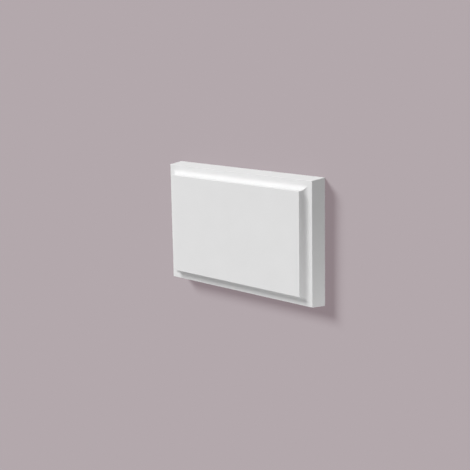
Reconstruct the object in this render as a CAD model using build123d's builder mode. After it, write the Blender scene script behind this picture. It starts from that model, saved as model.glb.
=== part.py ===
from build123d import *
from math import cos, radians, sin, tan
import os

os.makedirs("parts", exist_ok=True)

# A rusticated quoin: the raised stone that is fixed, one above another, up the corner of a house.
# It is moulded in one piece. It stands here as it is fixed, with its flat back on the wall plane Y = 0,
# its front towards -Y, its length along X and its height along Z. The origin is the middle of the back.
# Lengths are in millimetres and angles in degrees.

# Slab: its outline at the wall, how far it stands out, and the draft of its four sides, which lets it
# leave the mould.
back_width = 400
back_height = 250
slab_depth = 34
side_draft = 5

# Front: the flat margin, the hollow that rises from it, how far the field stands out of the margin, and
# the draft of the short wall between the hollow and the field.
margin_width = 9
cove_radius = 10.5
field_raise = 14.5
wall_draft = 3

# Softness of the outer edges as they leave the mould.
slab_edge_radius = 0.6
field_edge_radius = 0.5

total_depth = slab_depth + field_raise
draft_run = slab_depth * tan(radians(side_draft))
cove_angle = 90 - wall_draft
cove_run = cove_radius * sin(radians(cove_angle))
cove_rise = cove_radius * (1 - cos(radians(cove_angle)))
wall_run = (field_raise - cove_rise) * tan(radians(wall_draft))

# Planes of the two sections. Each has its first axis across the stone and its second out of the wall.
plan_plane = Plane(origin=(0, 0, 0), x_dir=(1, 0, 0), z_dir=(0, 0, -1))
side_plane = Plane(origin=(0, 0, 0), x_dir=(0, 0, 1), z_dir=(1, 0, 0))


def moulded_section(plane, back_size):
    """The stone's section between one pair of sides, the same about its middle."""
    half_back = back_size / 2
    half_margin = half_back - draft_run
    half_field = half_margin - margin_width - cove_run - wall_run
    with BuildSketch(plane) as section:
        with BuildLine():
            back = Line((0, 0), (half_back, 0))
            side = Line(back @ 1, (half_margin, slab_depth))
            margin = Line(side @ 1, (half_margin - margin_width, slab_depth))
            cove = JernArc(margin @ 1, tangent=(-1, 0), radius=cove_radius, arc_size=-cove_angle)
            wall = Line(cove @ 1, (half_field, total_depth))
            Line(wall @ 1, (0, total_depth))
            mirror(about=Plane.YZ)
        make_face()
    return section.sketch


# The same section runs round all four sides and meets itself in mitres. That is the solid which a run of
# the section up the height has in common with a run of it along the length.
with BuildPart() as quoin_block:
    extrude(moulded_section(plan_plane, back_width), amount=back_height, both=True)
    extrude(moulded_section(side_plane, back_height), amount=back_width, both=True, mode=Mode.INTERSECT)

    # The field's outline, the slab's front outline and its four corners are eased. The mitres of the
    # hollow stay crisp, and so does the back edge, which closes on the wall. Counted by depth, the field's
    # outline is the foremost group of edges, and the slab's corners lie just in front of the back edge.
    edges_by_depth = quoin_block.edges().group_by(Axis.Y)
    field_outline = edges_by_depth[0]
    slab_corners = edges_by_depth[-2]
    margin_face = quoin_block.faces().filter_by(Axis.Y).sort_by(Axis.Y)[1]
    slab_outline = margin_face.outer_wire().edges()
    fillet(slab_outline + slab_corners, slab_edge_radius)
    fillet(field_outline, field_edge_radius)

quoin_block.part.label = "quoin_block"
export_step(quoin_block.part, "parts/quoin_block.step")
field_inset = margin_width + cove_run + wall_run
print(f"field {total_depth} mm out, {field_inset:.2f} mm in from the slab's front edge")
print(f"solid {quoin_block.part.volume / 1000:.0f} cubic centimetres")
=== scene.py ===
# %% [markdown]
# A rusticated quoin is one of the raised stones that run up the corner of a house. This one is a light
# moulding that only looks like cut stone: it is cast in one piece in a mould, primed white, and bedded on
# the wall with adhesive. Everything here stands around the measured solid of that moulding, in metres,
# with the wall plane at Y = 0 and the front of the stone towards -Y.

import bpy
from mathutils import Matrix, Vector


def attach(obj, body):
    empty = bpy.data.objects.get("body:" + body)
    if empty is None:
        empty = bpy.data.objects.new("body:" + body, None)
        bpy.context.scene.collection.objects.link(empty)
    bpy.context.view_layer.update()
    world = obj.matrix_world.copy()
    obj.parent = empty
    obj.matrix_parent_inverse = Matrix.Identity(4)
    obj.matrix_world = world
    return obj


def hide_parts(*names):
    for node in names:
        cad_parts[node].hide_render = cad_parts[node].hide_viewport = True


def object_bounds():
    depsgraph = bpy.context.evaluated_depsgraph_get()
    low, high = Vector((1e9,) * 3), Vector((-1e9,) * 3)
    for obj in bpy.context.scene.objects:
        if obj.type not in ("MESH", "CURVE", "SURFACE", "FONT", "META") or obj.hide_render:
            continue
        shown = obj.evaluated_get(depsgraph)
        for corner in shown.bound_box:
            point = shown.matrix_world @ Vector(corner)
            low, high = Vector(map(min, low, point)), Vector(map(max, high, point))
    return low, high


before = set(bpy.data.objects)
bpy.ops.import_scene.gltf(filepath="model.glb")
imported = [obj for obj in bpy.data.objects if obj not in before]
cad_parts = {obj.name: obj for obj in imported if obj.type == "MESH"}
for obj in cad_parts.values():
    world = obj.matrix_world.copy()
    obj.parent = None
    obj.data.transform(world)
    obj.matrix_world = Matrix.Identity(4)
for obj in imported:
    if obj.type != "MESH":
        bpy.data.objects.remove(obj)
cad_low, cad_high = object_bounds()


def rounded(values, digits=4):
    """The values with that many digits after the point, short enough to print."""
    return [round(value, digits) for value in values]


print("solid from", rounded(cad_low), "to", rounded(cad_high))

# %% [markdown]
# A few names are needed all the way through: bmesh shapes the meshes, mathutils holds places and turns, and
# three units turn metres into sizes that are easy to read. The Standard view shows each colour as it is
# written. The view that Blender starts with would darken whites.

# %% Names that every later cell uses
from math import cos, pi, radians, sin, tan

import bmesh
import bpy
from mathutils import Matrix, Vector
from mathutils.bvhtree import BVHTree

millimetre = 0.001
square_centimetre = 0.0001
litre = 0.001

scene = bpy.context.scene
scene.view_settings.view_transform = "Standard"
print("colours are shown with the view", scene.view_settings.view_transform)

# %% [markdown]
# The camera stands to the right of the stone and a little above it, quite far off and with a long lens,
# so that the stone's level edges stay nearly parallel. A camera can be turned by a constraint that
# follows an empty, but a place and three angles say the same with nothing left live. So the camera starts
# at its target, backs away along its line of sight, and then leans by the small roll of the picture.

# %% The camera
lens_mm = 80.64
sensor_mm = 36
camera_azimuth = radians(44.80)
camera_elevation = radians(11.32)
camera_roll = radians(-1.012)
camera_distance = 2.1765
camera_target = Vector((-0.0413, 0, -0.0164))


def facing(direction):
    """A turn that points an object's own -Z along the direction, with its +Y as near upright as can be."""
    return direction.to_track_quat("-Z", "Y").to_matrix().to_4x4()


towards_camera = Vector((
    sin(camera_azimuth) * cos(camera_elevation),
    -cos(camera_azimuth) * cos(camera_elevation),
    sin(camera_elevation),
))
camera_place = camera_target + towards_camera * camera_distance
camera = bpy.data.objects.new("camera", bpy.data.cameras.new("camera"))
camera.data.lens = lens_mm
camera.data.sensor_width = sensor_mm
camera.matrix_world = (
    Matrix.Translation(camera_place) @ facing(-towards_camera) @ Matrix.Rotation(camera_roll, 4, "Z")
)
scene.collection.objects.link(camera)
scene.camera = camera
print("camera at", rounded(camera_place))

# %% [markdown]
# The stone is a slab with a smaller, raised field on its front. Between them runs a flat margin and then a
# hollow that sweeps up into the field's short wall. All four sides lean in a little towards the front,
# which is the draft that lets the stone leave its mould. A cube is the shortest start: its front corners
# are pulled in by the draft, and the rest grows out of its front face.

# %% The slab
slab_depth = 0.034
side_draft = radians(5)
draft_run = slab_depth * tan(side_draft)
stone_size = cad_high - cad_low


def box_on_wall(size):
    """A box of that size, centred in X and Z, with its back on the wall plane."""
    mesh = bmesh.new()
    bmesh.ops.create_cube(mesh, size=1)
    bmesh.ops.scale(mesh, vec=size, verts=mesh.verts)
    bmesh.ops.translate(mesh, vec=(0, -size.y / 2, 0), verts=mesh.verts)
    return mesh


def pull_in(mesh, face, amount):
    """Moves the four sides of a front face in by the same amount, so that its corners stay on mitres."""
    half_x = max(v.co.x for v in face.verts)
    half_z = max(v.co.z for v in face.verts)
    shrink = (1 - amount / half_x, 1, 1 - amount / half_z)
    bmesh.ops.scale(mesh, vec=shrink, verts=face.verts)


stone = box_on_wall(Vector((stone_size.x, slab_depth, stone_size.z)))
front = min(stone.faces, key=lambda face: face.calc_center_median().y)
pull_in(stone, front, draft_run)
print("slab front of", round(front.calc_area() / square_centimetre), "square centimetres")

# %% [markdown]
# Inset draws the foot of the field on the slab's front, and extrude lifts the field off it. The hollow
# could be a swept profile with four mitres to close. Here it is a bevel of the inner corner instead: on an
# edge that bends inwards, a bevel with a round profile is a hollow, and where two of its runs meet it
# makes the mitre by itself. A circle touches both faces at its tangent length from the corner, which is
# its radius times the tangent of half the turn, so that is the bevel's offset.

# %% The margin, the field and the hollow
margin_width = 0.009
cove_radius = 0.0105
cove_segments = 28
wall_draft = radians(3)
field_raise = stone_size.y - slab_depth


def tangent_length(radius, turn):
    """How far from a corner a circle of that radius touches the two faces that turn there."""
    return radius * tan(turn / 2)


def round_off(mesh, edges, radius, turn, segments):
    """Bevels the edges to a round of that radius."""
    bmesh.ops.bevel(
        mesh, geom=edges, offset=tangent_length(radius, turn), offset_type="OFFSET",
        segments=segments, profile=0.5, affect="EDGES", material=-1,
    )


cove_turn = pi / 2 - wall_draft
foot_inset = margin_width + tangent_length(cove_radius, cove_turn)
bmesh.ops.inset_region(stone, faces=[front], thickness=foot_inset, use_even_offset=True)
foot = list(front.edges)
lifted = bmesh.ops.extrude_face_region(stone, geom=[front])["geom"]
field = next(item for item in lifted if isinstance(item, bmesh.types.BMFace))
bmesh.ops.delete(stone, geom=[front], context="FACES_ONLY")
bmesh.ops.translate(stone, vec=(0, -field_raise, 0), verts=field.verts)
pull_in(stone, field, field_raise * tan(wall_draft))
round_off(stone, foot, cove_radius, cove_turn, cove_segments)
field_area = round(field.calc_area() / square_centimetre)
print("field of", field_area, "square centimetres,", len(stone.faces), "faces in all")

# %% [markdown]
# No moulded edge is perfectly sharp: the mould's own corners are a little round, and paint rounds them
# more. That narrow round is what catches the light along an outline, so it is worth its few faces. A Bevel
# modifier that goes by angle would soften the mitres as well. So the outlines are picked by where they lie:
# the field's, the slab's, and the slab's four corners. The back edge stays square, because it closes on the
# wall. Depths that differ by less than a hair count as the same.

# %% The eased edges
slab_edge_radius = 0.0006
field_edge_radius = 0.0005
ease_segments = 5
hair = 0.00001

field_outline = list(field.edges)
round_off(stone, field_outline, field_edge_radius, cove_turn, ease_segments)


def at_depth(vertex, depth):
    """True for a vertex that stands out from the wall plane by that depth."""
    return abs(vertex.co.y + depth) < hair


def on_slab_outline(vertex):
    """True on the slab's front outline, its outermost line at that depth."""
    half_length = stone_size.x / 2 - draft_run
    return at_depth(vertex, slab_depth) and abs(vertex.co.x) > half_length - hair


outer_edges = [edge for edge in stone.edges if any(on_slab_outline(v) for v in edge.verts)]
slab_corners = [edge for edge in outer_edges if any(at_depth(v, 0) for v in edge.verts)]
slab_outline = [edge for edge in outer_edges if all(on_slab_outline(v) for v in edge.verts)]
round_off(stone, slab_outline + slab_corners, slab_edge_radius, pi / 2 - side_draft, ease_segments)
print(len(slab_outline), "front edges and", len(slab_corners), "corners eased")

# %% [markdown]
# At each corner two runs of the hollow meet in a crisp line. It goes on up the field's short corner and
# through the eased outline to the face, and all of it has to stay crisp when the rest is shaded smooth. If
# any stretch were left smooth, the light on one short wall would be blended with the light on the next, and
# the flat walls would look twisted. These are the only edges in front of the margin that run across the
# length and the height at once, so that is how they are found.

# %% The mitres stay sharp
least_slant = 0.01


def is_mitre(edge):
    """True for an edge in front of the margin that crosses the length and the height at once."""
    run = (edge.verts[1].co - edge.verts[0].co).normalized()
    in_front = max(v.co.y for v in edge.verts) < hair - slab_depth
    on_margin = all(at_depth(v, slab_depth) for v in edge.verts)
    return in_front and not on_margin and abs(run.x) > least_slant and abs(run.z) > least_slant


mitres = [edge for edge in stone.edges if is_mitre(edge)]
for edge in mitres:
    edge.smooth = False
print(len(mitres), "edges along the mitres are marked sharp")

# %% [markdown]
# A mesh is sound when every edge has exactly two faces and they all look outwards. It should also lie on
# the measured solid, so each corner's distance to that solid's surface is measured too. With that shown,
# the new mesh takes the solid's place: the object sits at the origin, and its place is in its vertices.

# %% The mesh becomes the stone
back_slot = 1


def distance_off(vertex):
    """How far a vertex lies from the nearest point of the measured solid."""
    *_, distance = solid_surface.find_nearest(vertex.co)
    return distance


bmesh.ops.recalc_face_normals(stone, faces=stone.faces)
open_edges = sum(len(edge.link_faces) != 2 for edge in stone.edges)
solid_surface = BVHTree.FromObject(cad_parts["quoin_block"], bpy.context.evaluated_depsgraph_get())
furthest = max(distance_off(v) for v in stone.verts)
print(open_edges, "open edges,", round(furthest / millimetre, 3), "mm off the solid at most")
print("volume", round(stone.calc_volume() / litre, 3), "litres")

for face in stone.faces:
    face.smooth = True
back = max(stone.faces, key=lambda face: face.calc_center_median().y)
for edge in back.edges:
    edge.smooth = False
back.material_index = back_slot
stone_mesh = bpy.data.meshes.new("moulded_quoin")
stone.to_mesh(stone_mesh)
stone.free()
moulded_quoin = bpy.data.objects.new("moulded_quoin", stone_mesh)
scene.collection.objects.link(moulded_quoin)

# %% [markdown]
# Smooth shading blends the light across each edge. Beside a wide flat face that smears the narrow round
# over the whole face, which looks like a dent. The Weighted Normal modifier cures it: at each corner the
# large faces outvote the small ones, so the flats stay flat and only the rounds and hollows turn.

# %% Flat faces stay flat
large_face_weight = 100

weighted = moulded_quoin.modifiers.new("weighted_normal", "WEIGHTED_NORMAL")
weighted.mode = "FACE_AREA"
weighted.weight = large_face_weight
weighted.keep_sharp = True
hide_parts("quoin_block")
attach(moulded_quoin, "root")
print(moulded_quoin.name, "stands for the solid, with", len(stone_mesh.polygons), "faces")

# %% [markdown]
# A finish is made of noises of several sizes. They could be painted on an unwrapped mesh, but a noise on
# Object coordinates needs no unwrapping and has the same grain on every side. Its values crowd about the
# middle, so Map Range stretches them where they set a tone or a roughness.

# %% Noise, and the range it is used over
noise_low, noise_high = 0.3, 0.7


def noise(tree, place, width, detail):
    """Noise with blobs about that wide, in metres."""
    texture = tree.nodes.new("ShaderNodeTexNoise")
    texture.inputs["Scale"].default_value = 1 / width
    texture.inputs["Detail"].default_value = detail
    tree.links.new(place, texture.inputs["Vector"])
    return texture.outputs["Fac"]


def spread(tree, value, low, high):
    """Stretches the middle of a noise, where most of it lies, over the range from low to high."""
    stretch = tree.nodes.new("ShaderNodeMapRange")
    ends = {"From Min": noise_low, "From Max": noise_high, "To Min": low, "To Max": high}
    for end, number in ends.items():
        stretch.inputs[end].default_value = number
    tree.links.new(value, stretch.inputs["Value"])
    return stretch.outputs["Result"]


print("noise is used from", noise_low, "to", noise_high)

# %% [markdown]
# Both finishes of the stone use their noises in the same three ways: one tints the colour between a darker
# and a lighter tone, others become height through Bump nodes, and others move the roughness. Displacement
# could raise the surface itself, but the grain is finer than any mesh that is worth its faces. A matt coat
# reflects little straight on, so the specular level is below Blender's usual one.

# %% Tone, relief and the material itself
low_gloss = 0.3


def tint(tree, share, dark, light):
    """A colour between two, by a share that runs from 0 to 1."""
    blend = tree.nodes.new("ShaderNodeMix")
    blend.data_type = "RGBA"
    blend.inputs["A"].default_value = (*dark, 1)
    blend.inputs["B"].default_value = (*light, 1)
    tree.links.new(share, blend.inputs["Factor"])
    return blend.outputs["Result"]


def average(tree, first, second):
    """The mean of two values: a Mix node starts out with an even share of each."""
    blend = tree.nodes.new("ShaderNodeMix")
    tree.links.new(first, blend.inputs["A"])
    tree.links.new(second, blend.inputs["B"])
    return blend.outputs["Result"]


def relief(tree, height, depth, below=None):
    """Bump of that depth in metres, on top of the bump below it."""
    bump = tree.nodes.new("ShaderNodeBump")
    bump.inputs["Strength"].default_value = 1
    bump.inputs["Distance"].default_value = depth
    tree.links.new(height, bump.inputs["Height"])
    if below:
        tree.links.new(below, bump.inputs["Normal"])
    return bump.outputs["Normal"]


def new_material(name):
    """A material, its node tree and the Object coordinates that its noises are laid on."""
    material = bpy.data.materials.new(name)
    material.use_nodes = True
    tree = material.node_tree
    return material, tree, tree.nodes.new("ShaderNodeTexCoord").outputs["Object"]


def finish(material, tone, roughness, surface):
    """Gives the material its tone, roughness and relief, and the stone the material in its next slot."""
    shader = material.node_tree.nodes["Principled BSDF"]
    for name, value in {"Base Color": tone, "Roughness": roughness, "Normal": surface}.items():
        material.node_tree.links.new(value, shader.inputs[name])
    shader.inputs["Specular IOR Level"].default_value = low_gloss
    stone_mesh.materials.append(material)
    print(material.name, "has", len(material.node_tree.nodes), "nodes")


print("both finishes have a specular level of", low_gloss)

# %% [markdown]
# The primer is a matt white coat, sprayed thinly over the hard skin of the foam. From close by it isn't
# blank: it has a powdery grain, a soft peel where the droplets ran together, and broad swells where the
# coat is a touch thicker and duller. The grain lies on the peel, so its Bump node takes the peel's as the
# surface below it. The swells change the tone by about one part in a hundred either way, which the eye
# takes for a hand's work, not for a stain.

# %% The sprayed primer
grain_width, grain_detail, grain_depth = 0.0005, 2, 0.00003
peel_width, peel_detail, peel_depth = 0.0028, 3, 0.00015
swell_width, swell_detail = 0.055, 4
primer_dark, primer_light = (0.792, 0.792, 0.792), (0.808, 0.808, 0.809)
primer_roughness = (0.55, 0.66)

primer, tree, place = new_material("white_primer_finish")
grain = noise(tree, place, grain_width, grain_detail)
peel = noise(tree, place, peel_width, peel_detail)
swell = noise(tree, place, swell_width, swell_detail)
primer_tone = tint(tree, spread(tree, swell, 0, 1), primer_dark, primer_light)
primer_sheen = spread(tree, average(tree, peel, swell), *primer_roughness)
primer_surface = relief(tree, grain, grain_depth, below=relief(tree, peel, peel_depth))
finish(primer, primer_tone, primer_sheen, primer_surface)

# %% [markdown]
# The back is never seen once the stone is on its wall. It is planed flat for the adhesive, so the skin is
# gone there and the foam's fine pores lie open under a thin coat. It could share the primer, but a face
# that has been cut looks drier: it is a little darker and rougher, and its relief is all pores. It is the
# mesh's second material, and the back face was given that slot when it was made.

# %% The planed back
pore_width, pore_detail, pore_depth = 0.0013, 5, 0.00014
back_dark, back_light = (0.735, 0.735, 0.722), (0.785, 0.785, 0.775)
back_roughness = (0.74, 0.86)

planed_back, tree, place = new_material("planed_back_finish")
pores = noise(tree, place, pore_width, pore_detail)
swell = noise(tree, place, swell_width, swell_detail)
back_tone = tint(tree, spread(tree, average(tree, pores, swell), 0, 1), back_dark, back_light)
finish(planed_back, back_tone, spread(tree, pores, *back_roughness), relief(tree, pores, pore_depth))

# %% [markdown]
# The stone is shown as it is fixed, on a wall, and the ground of the picture is one even mauve with a soft
# shadow on it. A plain wall under a lamp would do that, but a white stone also throws light back on its
# wall, and this ground has no such glow. So the wall's paint is a few times darker than it looks and has a
# lamp of its own that is as much brighter: the lamp's shadow shows and the glow doesn't. What is seen in
# full shadow is given out by the paint itself, and the lamp adds the rest. The lamp meets the wall and the
# floor at different slants, so how squarely it meets each is worked out first.

# %% The tones of the ground, and how squarely its lamp meets it
ground_seen = Vector((0.451, 0.392, 0.413))
ground_in_shadow = Vector((0.260, 0.208, 0.225))
ground_bounce = (0.406, 0.406, 0.406)
ground_dimming = 4
ground_light_travel = Vector((1.03, 1, -0.9)).normalized()
wall_squareness = ground_light_travel.y
floor_squareness = -ground_light_travel.z
print("the lamp meets the wall at", round(wall_squareness, 2), "and the floor at", round(floor_squareness, 2))

# %% [markdown]
# The paint of the ground is put together from four small shaders: a matt one, one that gives out light,
# the sum of two, and a choice between two. Light Path tells which kind of ray arrives. With it the camera,
# glossy rays and rays through glass meet the mauve ground, while the stone's diffuse light comes off an
# even, plain grey and stays free of the mauve.

# %% Shaders for the ground
def matt(tree, colour):
    """A surface that scatters the light that falls on it."""
    shader = tree.nodes.new("ShaderNodeBsdfDiffuse")
    shader.inputs["Color"].default_value = (*colour, 1)
    return shader.outputs["BSDF"]


def giving_out(tree, colour):
    """A surface that shows its colour by itself, lit or not."""
    shader = tree.nodes.new("ShaderNodeEmission")
    shader.inputs["Color"].default_value = (*colour, 1)
    return shader.outputs["Emission"]


def both(tree, first, second):
    """The light of two shaders added up."""
    add = tree.nodes.new("ShaderNodeAddShader")
    tree.links.new(first, add.inputs[0])
    tree.links.new(second, add.inputs[1])
    return add.outputs["Shader"]


def either(tree, which, first, second):
    """The first shader where the value is 0 and the second where it is 1."""
    mix = tree.nodes.new("ShaderNodeMixShader")
    tree.links.new(which, mix.inputs["Fac"])
    tree.links.new(first, mix.inputs[1])
    tree.links.new(second, mix.inputs[2])
    return mix.outputs["Shader"]


def shows_ground(tree):
    """1 for a ray that shows the ground as it looks: from the camera, off a gloss or through glass."""
    ray = tree.nodes.new("ShaderNodeLightPath")
    shown = ray.outputs["Is Camera Ray"]
    for kind in ("Is Glossy Ray", "Is Transmission Ray"):
        larger = tree.nodes.new("ShaderNodeMath")
        larger.operation = "MAXIMUM"
        tree.links.new(shown, larger.inputs[0])
        tree.links.new(ray.outputs[kind], larger.inputs[1])
        shown = larger.outputs["Value"]
    return shown


print("the ground looks", rounded(ground_seen), "and throws back", ground_bounce)

# %% [markdown]
# One paint serves the wall and the floor. The floor meets the lamp less squarely than the wall does, so its
# share of the paint is larger by the same ratio and both look alike. The wall's paint is clear from behind,
# so that the back of the stone can be looked at. Geometry's Backfacing is 1 on that side.

# %% The paint of the wall and the floor
def ground_paint(name, squareness, one_sided):
    """Paint that looks the same however squarely its lamp meets it. One-sided paint is clear from behind."""
    material = bpy.data.materials.new(name)
    material.use_nodes = True
    tree = material.node_tree
    share = wall_squareness / squareness / ground_dimming
    lamp_part = (ground_seen - ground_in_shadow) * share
    seen = both(tree, matt(tree, lamp_part), giving_out(tree, ground_in_shadow))
    surface = either(tree, shows_ground(tree), giving_out(tree, ground_bounce), seen)
    if one_sided:
        behind = tree.nodes.new("ShaderNodeNewGeometry").outputs["Backfacing"]
        clear = tree.nodes.new("ShaderNodeBsdfTransparent").outputs["BSDF"]
        surface = either(tree, behind, surface, clear)
    tree.links.new(surface, tree.nodes["Material Output"].inputs["Surface"])
    print(name, "reflects", rounded(lamp_part))
    return material


wall_paint = ground_paint("wall_paint", wall_squareness, one_sided=True)
floor_paint = ground_paint("floor_paint", floor_squareness, one_sided=False)

# %% [markdown]
# The stone's back has to be seen as well, so the wall can't be a block. It is a single sheet a hair behind
# the stone, which faces the front, with an opening where the stone's back is. The floor is far enough down
# to stay out of the picture. It closes the space when the camera is moved, and it has no part in the light
# on the stone.

# %% The wall and the floor
wall_gap = 0.00005
opening_rim = 0.0001
wall_reach = 5
floor_level = -1.1
floor_half = 15


def stage_object(name, mesh, material):
    """A painted backdrop, an object of its own beside the stone."""
    data = bpy.data.meshes.new(name)
    mesh.to_mesh(data)
    mesh.free()
    data.materials.append(material)
    obj = bpy.data.objects.new(name, data)
    scene.collection.objects.link(obj)
    return obj


def wall_with_opening():
    """A wall just behind the stone, with an opening a little smaller than the stone's back."""
    mesh = bmesh.new()
    half_x = stone_size.x / 2 - opening_rim + wall_reach
    half_z = stone_size.z / 2 - opening_rim + wall_reach
    bmesh.ops.create_grid(mesh, x_segments=1, y_segments=1, size=1)
    bmesh.ops.scale(mesh, vec=(half_x, half_z, 1), verts=mesh.verts)
    middle = mesh.faces[:]
    bmesh.ops.inset_region(mesh, faces=middle, thickness=wall_reach, use_even_offset=True, use_boundary=True)
    bmesh.ops.delete(mesh, geom=middle, context="FACES_ONLY")
    bmesh.ops.rotate(mesh, matrix=Matrix.Rotation(pi / 2, 3, "X"), verts=mesh.verts)
    bmesh.ops.translate(mesh, vec=(0, wall_gap, 0), verts=mesh.verts)
    return mesh


def floor_sheet():
    """A level sheet far below the stone."""
    mesh = bmesh.new()
    bmesh.ops.create_grid(mesh, x_segments=1, y_segments=1, size=floor_half)
    bmesh.ops.translate(mesh, vec=(0, 0, floor_level), verts=mesh.verts)
    return mesh


wall = stage_object("wall", wall_with_opening(), wall_paint)
floor = stage_object("floor", floor_sheet(), floor_paint)
floor.visible_diffuse = False
floor.visible_glossy = False
floor.visible_shadow = False
print("wall and floor:", len(wall.data.polygons), "and", len(floor.data.polygons), "faces")

# %% [markdown]
# A studio lights a white relief with one large soft source from the side, so that every slope gets its own
# grey, and fills the shadows with weak ones. An area lamp close to the stone would fall off along its
# length, so the main light is a Sun with a wide angle, which is even and still soft, and so is the fill in
# front. The three cards are round area lamps. Light linking keeps each lamp to what it is for: the ground's
# lamp lights the wall and the floor, where only the stone casts its shadow, and the others light the stone
# alone.

# %% Lamps and what they light
def linked_collection(name, objects):
    """A collection that only tells lamps what to light. It isn't put in the scene."""
    collection = bpy.data.collections.new(name)
    for obj in objects:
        collection.objects.link(obj)
    print(name, "holds", [obj.name for obj in objects])
    return collection


stone_only = linked_collection("stone_only", [moulded_quoin])
ground_only = linked_collection("ground_only", [wall, floor])


def add_lamp(name, kind, strength, place, direction, lit):
    """A lamp that shines that way from its place, on the objects of one collection."""
    lamp = bpy.data.objects.new(name, bpy.data.lights.new(name, kind))
    lamp.data.energy = strength
    lamp.matrix_world = Matrix.Translation(place) @ facing(direction)
    lamp.visible_camera = False
    lamp.light_linking.receiver_collection = lit
    scene.collection.objects.link(lamp)
    print(name, "has a strength of", round(strength, 2))
    return lamp


def add_sun(name, travel, strength, softness, lit):
    """Even light that travels one way. Where the sun itself stands makes no difference."""
    lamp = add_lamp(name, "SUN", strength, -travel, travel, lit)
    lamp.data.angle = softness
    return lamp


def add_card(name, place, target, power, width):
    """A round card that lights the stone alone."""
    lamp = add_lamp(name, "AREA", power, place, target - place, stone_only)
    lamp.data.shape = "DISK"
    lamp.data.size = width


# %% [markdown]
# The ground's lamp comes from the upper left and throws the stone's soft shadow to the lower right. The
# room's even light falls on the ground as well, so the lamp gives that much less, and the two together make
# up the tone that is wanted.

# %% The ground's lamp
room_light = 0.265
ground_softness = radians(21)
ground_strength = pi * (ground_dimming - room_light) / wall_squareness
ground_light = add_sun("ground_light", ground_light_travel, ground_strength, ground_softness, ground_only)
ground_light.light_linking.blocker_collection = stone_only

# %% [markdown]
# The window light is the main one. It comes from above, in front and a little to the left, so the top of
# the stone is bright, its face light grey and its right side dark. The front fill comes from a little below
# and lifts the face, and the left card lifts the left side. The low card opens up the right side, more so
# towards its foot. The rear card stands behind the wall, where it lights nothing but the stone's back.

# %% The stone's lamps
window_travel, window_strength, window_softness = Vector((0.54, 1, -1.25)), 2.72, radians(30)
add_sun("window", window_travel, window_strength, window_softness, stone_only)

front_travel, front_strength, front_softness = Vector((0.19, 1, 0.47)), 0.26, radians(44)
add_sun("front_fill", front_travel, front_strength, front_softness, stone_only)

stone_middle = Vector((0, 0, 0))
left_place, left_power, left_width = Vector((-0.83, -1.11, 0.14)), 1.2, 0.6
add_card("left_card", left_place, stone_middle, left_power, left_width)

right_end = Vector((0.2, -0.02, -0.05))
low_place, low_power, low_width = Vector((0.483, -0.026, -0.358)), 0.84, 0.243
add_card("low_card", low_place, right_end, low_power, low_width)

rear_place, rear_power, rear_width = Vector((-0.7, 1.5, 0.9)), 14, 1.2
add_card("rear_card", rear_place, stone_middle, rear_power, rear_width)

# %% [markdown]
# The last light is the room's own, a faint white from all around, which keeps the deepest part of the
# hollow from going black. A World gives it. Where the picture looks past the wall and the floor, the World
# shows the ground's tone instead, so the backdrop has no end.

# %% The room
white = (1, 1, 1, 1)

world = bpy.data.worlds.new("room")
scene.world = world
world.use_nodes = True
room = world.node_tree
even_light = room.nodes["Background"]
even_light.inputs["Color"].default_value = white
even_light.inputs["Strength"].default_value = room_light
far_ground = room.nodes.new("ShaderNodeBackground")
far_ground.inputs["Color"].default_value = (*ground_seen, 1)
surroundings = either(
    room, shows_ground(room), even_light.outputs["Background"], far_ground.outputs["Background"],
)
room.links.new(surroundings, room.nodes["World Output"].inputs["Surface"])
print("room light", room_light, "of white from all around")
